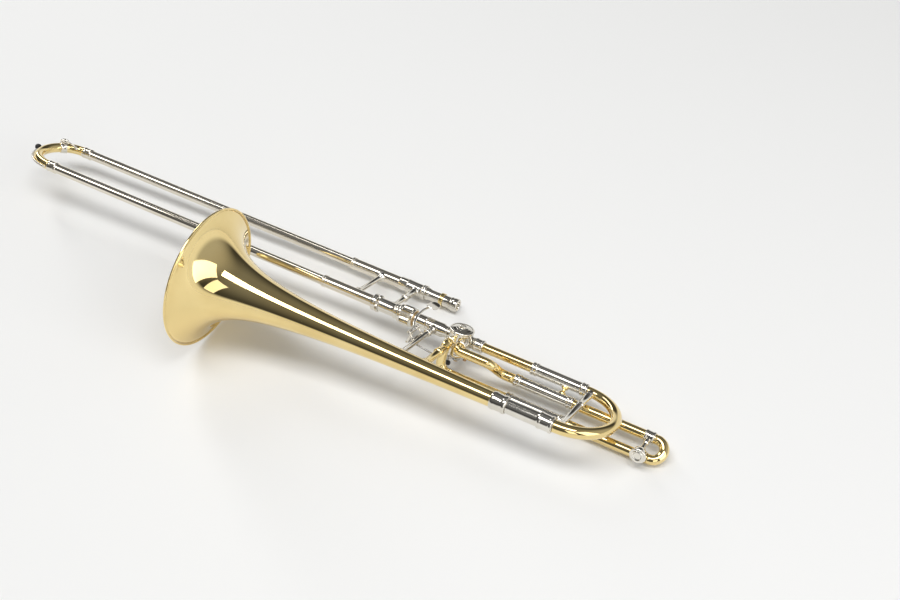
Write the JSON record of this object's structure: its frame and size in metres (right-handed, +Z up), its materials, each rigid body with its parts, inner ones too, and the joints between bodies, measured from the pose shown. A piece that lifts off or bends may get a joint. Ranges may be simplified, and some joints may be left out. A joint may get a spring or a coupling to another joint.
{
  "type": "trombone",
  "caption": "Tenor trombone with a rotary valve worked by a thumb trigger, a telescoping hand slide, tuning slides and a flared brass bell.",
  "frame": {"origin": "middle of the bounding box, on the floor that the instrument lies on", "axes": "+X runs back along the instrument from the bell's mouth to the tuning slides, +Y from the bell to the hand slide, +Z up"},
  "size_m": [1.1744, 0.3156, 0.2169],
  "materials": {
    "black_rubber": "black rubber",
    "chromed_tube": "chromed drawn tube",
    "cork": "natural cork",
    "lacquered_brass": "clear lacquer over polished yellow brass",
    "nickel_silver": "polished nickel silver",
    "raw_brass": "bare brass, unpolished",
    "steel": "plain steel"
  },
  "bodies": {
    "bell_section": {"bell_flare": "lacquered_brass", "bell_tail": "lacquered_brass", "bell_rim_bead": "lacquered_brass", "bell_ferrule": "nickel_silver", "bell_leg_sleeve": "nickel_silver", "slide_receiver": "nickel_silver", "receiver_thread_collar": "raw_brass", "valve_casing": "nickel_silver", "valve_bearing_plate": "raw_brass", "valve_cap": "nickel_silver", "rest_stop_bumper": "cork", "open_stop_bumper": "cork", "gooseneck": "lacquered_brass", "gooseneck_ferrule": "nickel_silver", "gooseneck_sleeve": "nickel_silver", "f_upper_tube": "lacquered_brass", "f_lower_tube": "lacquered_brass", "f_upper_sleeve": "nickel_silver", "f_lower_sleeve": "nickel_silver", "f_tube_brace": "nickel_silver", "front_bell_brace": "nickel_silver", "rear_bell_brace": "lacquered_brass", "trigger_bracket": "nickel_silver", "trigger_hinge_pin": "steel"},
    "rotor": {"rotor": "raw_brass", "rotor_stop_arm": "steel"},
    "thumb_trigger": {"thumb_trigger": "nickel_silver"},
    "linkage": {"linkage_rod": "steel", "linkage_ball_joint": "black_rubber"},
    "main_tuning_slide": {"main_slide_bow": "lacquered_brass", "main_slide_gooseneck_leg": "nickel_silver", "main_slide_bell_leg": "nickel_silver", "main_slide_brace": "nickel_silver"},
    "f_tuning_slide": {"f_slide_upper_leg": "lacquered_brass", "f_slide_upper_ferrule": "nickel_silver", "f_slide_lower_leg": "lacquered_brass", "f_slide_lower_ferrule": "nickel_silver", "f_slide_bow": "lacquered_brass", "f_slide_knob": "nickel_silver"},
    "tenon": {"slide_tenon": "nickel_silver"},
    "slide_section": {"inner_slide_upper_tube": "chromed_tube", "inner_slide_lower_tube": "chromed_tube", "upper_cork_barrel": "nickel_silver", "lower_cork_barrel": "nickel_silver", "upper_cork_bumper": "cork", "lower_cork_bumper": "cork", "inner_slide_brace": "nickel_silver", "mouthpiece_receiver": "nickel_silver", "mouthpiece_receiver_band": "lacquered_brass"},
    "connecting_nut": {"connecting_nut": "nickel_silver"},
    "slide_lock_ring": {"slide_lock_ring": "nickel_silver"},
    "hand_slide": {"outer_slide_upper_tube": "chromed_tube", "outer_slide_lower_tube": "chromed_tube", "outer_slide_brace": "nickel_silver", "slide_crook": "lacquered_brass", "crook_guard": "nickel_silver", "slide_bumper": "black_rubber", "water_key_saddle": "nickel_silver"},
    "water_key": {"water_key_lever": "nickel_silver", "water_key_cork": "cork"}
  },
  "joints": [
    {"name": "trigger_pivot", "type": "hinge", "parent": "bell_section", "child": "thumb_trigger", "pos_m": [0.18372, 0.02572, 0.07175], "axis": [0.0183, -0.9217, 0.3876], "range_deg": [0, 36], "stiffness_Nm_per_rad": 0.12, "springref_deg": -20.05},
    {"name": "rotor_turn", "type": "hinge", "parent": "bell_section", "child": "rotor", "pos_m": [0.24263, 0.05654, 0.04728], "axis": [0.0435, 0.388, 0.9206], "range_deg": [0, 90]},
    {"name": "linkage_pivot", "type": "hinge", "parent": "thumb_trigger", "child": "linkage", "pos_m": [0.17407, 0.0259, 0.04424], "axis": [0.0183, -0.9217, 0.3876], "range_deg": [-36, 0]},
    {"name": "main_tuning_slide_travel", "type": "slide", "parent": "bell_section", "child": "main_tuning_slide", "axis": [0.9989, 0, -0.0472], "range_m": [0, 0.06]},
    {"name": "f_tuning_slide_travel", "type": "slide", "parent": "bell_section", "child": "f_tuning_slide", "axis": [0.9989, 0, -0.0472], "range_m": [0, 0.07]},
    {"name": "slide_release", "type": "slide", "parent": "bell_section", "child": "tenon", "axis": [-0.9989, 0, 0.0472], "range_m": [0, 0.05]},
    {"name": "slide_angle", "type": "hinge", "parent": "tenon", "child": "slide_section", "pos_m": [0.13858, 0.06502, 0.04863], "axis": [0.9989, 0, -0.0472], "range_deg": [0, 90]},
    {"name": "nut_turn", "type": "hinge", "parent": "slide_section", "child": "connecting_nut", "pos_m": [0.14857, 0.06502, 0.04816], "axis": [0.9989, 0, -0.0472], "range_deg": [0, 720]},
    {"name": "lock_ring_turn", "type": "hinge", "parent": "slide_section", "child": "slide_lock_ring", "pos_m": [0.09713, 0.06502, 0.05059], "axis": [0.9989, 0, -0.0472], "range_deg": [0, 40]},
    {"name": "hand_slide_travel", "type": "slide", "parent": "slide_section", "child": "hand_slide", "axis": [-0.9989, 0, 0.0472], "range_m": [0, 0.58]},
    {"name": "water_key_pivot", "type": "hinge", "parent": "hand_slide", "child": "water_key", "pos_m": [-0.5556, 0.13986, 0.06381], "axis": [0.6934, 0.6517, -0.3075], "range_deg": [0, 18], "stiffness_Nm_per_rad": 0.05, "springref_deg": -20.05}
  ],
  "couplings": [
    {"joint": "rotor_turn", "follows": "trigger_pivot", "ratio": 2.5},
    {"joint": "linkage_pivot", "follows": "trigger_pivot", "ratio": -1}
  ]
}
